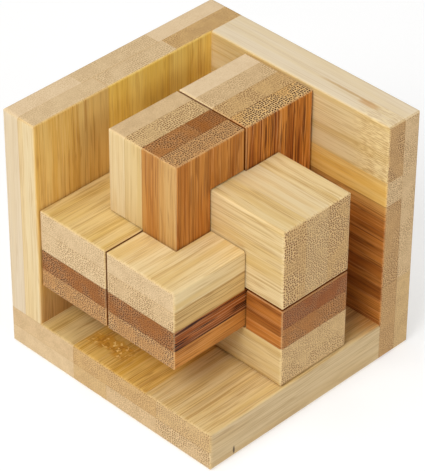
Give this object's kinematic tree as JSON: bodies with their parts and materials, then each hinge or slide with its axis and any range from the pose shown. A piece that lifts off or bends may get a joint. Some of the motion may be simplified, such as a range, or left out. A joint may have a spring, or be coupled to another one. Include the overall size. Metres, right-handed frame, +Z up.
{
  "type": "wooden burr puzzle",
  "caption": "Interlocking bars cross in an open three-board corner frame; a plain key bar slides out first and frees the rest, one after another.",
  "frame": {"origin": "centre of the square footprint, on the underside of the base board", "axes": "+Z up; -X is the outer face of the left wall; +Y is the outer face of the rear wall; the open corner faces +X, -Y, +Z"},
  "size_m": [0.0604, 0.0604, 0.0604],
  "materials": {
    "bamboo_pale": "natural laminated bamboo, sanded, clear satin finish",
    "bamboo_cream": "palest laminated bamboo, sanded, clear satin finish",
    "bamboo_tan": "tan laminated bamboo, sanded, clear satin finish",
    "bamboo_brown": "steamed orange-brown bamboo, sanded, clear satin finish",
    "bamboo_dark": "dark steamed bamboo, sanded, clear satin finish"
  },
  "bodies": {
    "frame": {"base_inner_strip_1": "bamboo_tan", "base_inner_strip_2": "bamboo_pale", "base_inner_strip_3": "bamboo_cream", "base_outer_strip_1": "bamboo_cream", "base_outer_strip_2": "bamboo_tan", "base_outer_strip_3": "bamboo_pale", "base_outer_strip_4": "bamboo_tan", "left_wall_inner_strip_1": "bamboo_tan", "left_wall_inner_strip_2": "bamboo_pale", "left_wall_inner_strip_3": "bamboo_tan", "left_wall_outer_strip_1": "bamboo_pale", "left_wall_outer_strip_2": "bamboo_tan", "left_wall_outer_strip_3": "bamboo_cream", "rear_wall_inner_strip_1": "bamboo_tan", "rear_wall_inner_strip_2": "bamboo_brown", "rear_wall_inner_strip_3": "bamboo_pale", "rear_wall_inner_strip_4": "bamboo_cream", "rear_wall_outer_strip_1": "bamboo_tan", "rear_wall_outer_strip_2": "bamboo_tan", "rear_wall_outer_strip_3": "bamboo_cream"},
    "rear_post": {"rear_post_left_ply": "bamboo_cream", "rear_post_mid_left_ply": "bamboo_tan", "rear_post_mid_right_ply": "bamboo_dark", "rear_post_right_ply": "bamboo_brown"},
    "left_bar": {"left_bar_bottom_ply": "bamboo_brown", "left_bar_lower_ply": "bamboo_dark", "left_bar_upper_ply": "bamboo_pale", "left_bar_top_ply": "bamboo_cream"},
    "cross_bar": {"cross_bar_bottom_ply": "bamboo_pale", "cross_bar_lower_ply": "bamboo_cream", "cross_bar_upper_ply": "bamboo_brown", "cross_bar_top_ply": "bamboo_dark"},
    "right_bar": {"right_bar_bottom_ply": "bamboo_brown", "right_bar_lower_ply": "bamboo_dark", "right_bar_upper_ply": "bamboo_pale", "right_bar_top_ply": "bamboo_cream"},
    "front_post": {"front_post_left_ply": "bamboo_cream", "front_post_mid_left_ply": "bamboo_tan", "front_post_mid_right_front_strip": "bamboo_brown", "front_post_mid_right_rear_strip": "bamboo_dark", "front_post_right_ply": "bamboo_brown"},
    "key_bar": {"key_bar_front_ply": "bamboo_pale", "key_bar_middle_ply": "bamboo_cream", "key_bar_rear_ply": "bamboo_pale"}
  },
  "joints": [
    {"name": "rear_post_slide", "type": "slide", "parent": "frame", "child": "rear_post", "axis": [0, 0, 1], "range_m": [0, 0.055]},
    {"name": "left_bar_slide", "type": "slide", "parent": "rear_post", "child": "left_bar", "axis": [0, -1, 0], "range_m": [0, 0.055]},
    {"name": "cross_bar_slide", "type": "slide", "parent": "left_bar", "child": "cross_bar", "axis": [1, 0, 0], "range_m": [0, 0.055]},
    {"name": "right_bar_slide", "type": "slide", "parent": "cross_bar", "child": "right_bar", "axis": [0, -1, 0], "range_m": [0, 0.055]},
    {"name": "front_post_slide", "type": "slide", "parent": "right_bar", "child": "front_post", "axis": [0, 0, 1], "range_m": [0, 0.055]},
    {"name": "key_bar_slide", "type": "slide", "parent": "front_post", "child": "key_bar", "axis": [1, 0, 0], "range_m": [0, 0.055]}
  ]
}
